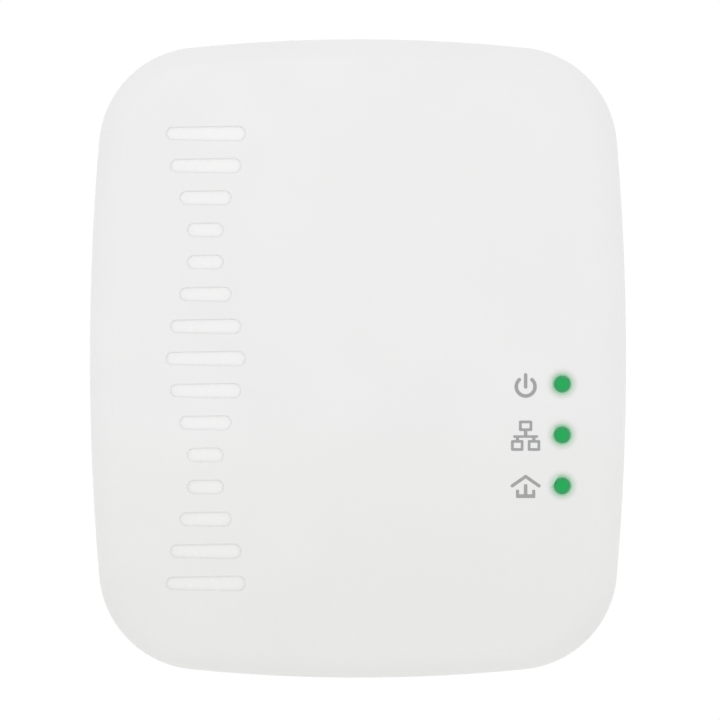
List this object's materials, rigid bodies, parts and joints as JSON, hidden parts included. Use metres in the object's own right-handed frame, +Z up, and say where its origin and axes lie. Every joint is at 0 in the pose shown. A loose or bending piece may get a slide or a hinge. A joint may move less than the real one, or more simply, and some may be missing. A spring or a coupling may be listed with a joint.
{
  "type": "plug-in powerline network adapter",
  "caption": "Small rounded plug-in mains adapter with a recessed relief and green indicator lights in front, a two-pin plug behind, and a network jack and pair button underneath.",
  "frame": {"origin": "centre of the plug's contact face, midway between the two pins", "axes": "+X to the right of a person facing the plugged-in adapter, +Y into the wall along the plug, +Z up"},
  "size_m": [0.0546, 0.065, 0.065],
  "materials": {
    "shell": "fine-textured white",
    "plug_plastic": "smooth satin white",
    "button_plastic": "satin white",
    "pin_metal": "nickel plated",
    "sleeve_plastic": "satin black",
    "screw_steel": "zinc plated",
    "light_pipe": "clear, lit green",
    "led": "clear resin over white",
    "board_green": "green solder mask",
    "board_tan": "phenolic board",
    "solder": "bright solder",
    "chip": "black moulded epoxy",
    "ferrite": "dark ferrite",
    "thermal_pad": "soft grey-blue",
    "aluminium": "pressed",
    "chip_ceramic": "sintered",
    "resistor_ceramic": "coated",
    "jack_steel": "tinned sheet",
    "black_plastic": "satin black",
    "contact_gold": "gold flashed",
    "stem_plastic": "satin dark grey",
    "fuse_plastic": "satin black",
    "varistor_coat": "blue epoxy coat",
    "disc_coat": "light blue epoxy coat",
    "can_sleeve": "black shrink sleeve",
    "film_yellow": "yellow box",
    "copper": "enamelled copper wire",
    "winding_tape": "yellow tape",
    "insulation": "pressed insulating paper",
    "label_paper": "plain printed foil",
    "symbol_ink": "pad-printed grey ink"
  },
  "bodies": {
    "housing": {"board_link_header": "black_plastic", "board_link_pins": "contact_gold", "bridge_rectifier": "chip", "buck_inductor": "ferrite", "bulk_capacitors": "can_sleeve", "choke_core": "ferrite", "choke_windings": "copper", "clock_crystal": "jack_steel", "decoupling_capacitors": "chip_ceramic", "ethernet_jack_contacts": "contact_gold", "ethernet_jack_insert": "black_plastic", "ethernet_jack_shield": "jack_steel", "ethernet_magnetics": "chip", "film_capacitor": "film_yellow", "filter_inductor_core": "ferrite", "filter_inductor_winding": "copper", "flash_chip": "chip", "front_cover": "shell", "heat_spreader": "aluminium", "housing_screws": "screw_steel", "input_fuse": "fuse_plastic", "insulating_sheet": "insulation", "led_network": "led", "led_power": "led", "led_powerline": "led", "led_resistors": "resistor_ceramic", "light_pipe_network": "light_pipe", "light_pipe_power": "light_pipe", "light_pipe_powerline": "light_pipe", "light_shield": "black_plastic", "line_coupling_transformer": "chip", "line_driver": "chip", "line_pin": "pin_metal", "main_board": "board_green", "mains_solder_joints": "solder", "memory_chip": "chip", "neutral_pin": "pin_metal", "output_capacitor": "can_sleeve", "output_diode": "chip", "pair_switch_body": "black_plastic", "pin_sleeves": "sleeve_plastic", "plug_insert": "plug_plastic", "power_board": "board_tan", "powerline_soc": "chip", "rating_label": "label_paper", "rear_housing": "shell", "reset_switch_body": "black_plastic", "safety_capacitor": "disc_coat", "surge_varistor": "varistor_coat", "switch_frames": "jack_steel", "switching_controller": "chip", "thermal_pad": "thermal_pad", "transformer_bobbin": "black_plastic", "transformer_core": "ferrite", "transformer_winding": "winding_tape"},
    "pair_button": {"pair_button": "button_plastic"},
    "pair_plunger": {"pair_switch_plunger": "stem_plastic"},
    "reset_plunger": {"reset_switch_plunger": "stem_plastic"}
  },
  "joints": [
    {"name": "pair_button_press", "type": "slide", "parent": "housing", "child": "pair_button", "axis": [0, 0, 1], "range_m": [0, 0.0003], "stiffness_N_per_m": 800, "springref_m": -0.001},
    {"name": "pair_plunger_press", "type": "slide", "parent": "housing", "child": "pair_plunger", "axis": [0, 0, 1], "range_m": [0, 0.0003]},
    {"name": "reset_plunger_press", "type": "slide", "parent": "housing", "child": "reset_plunger", "axis": [0, 0, 1], "range_m": [0, 0.0003], "stiffness_N_per_m": 400, "springref_m": -0.001}
  ],
  "couplings": [
    {"joint": "pair_plunger_press", "follows": "pair_button_press", "ratio": 1}
  ]
}
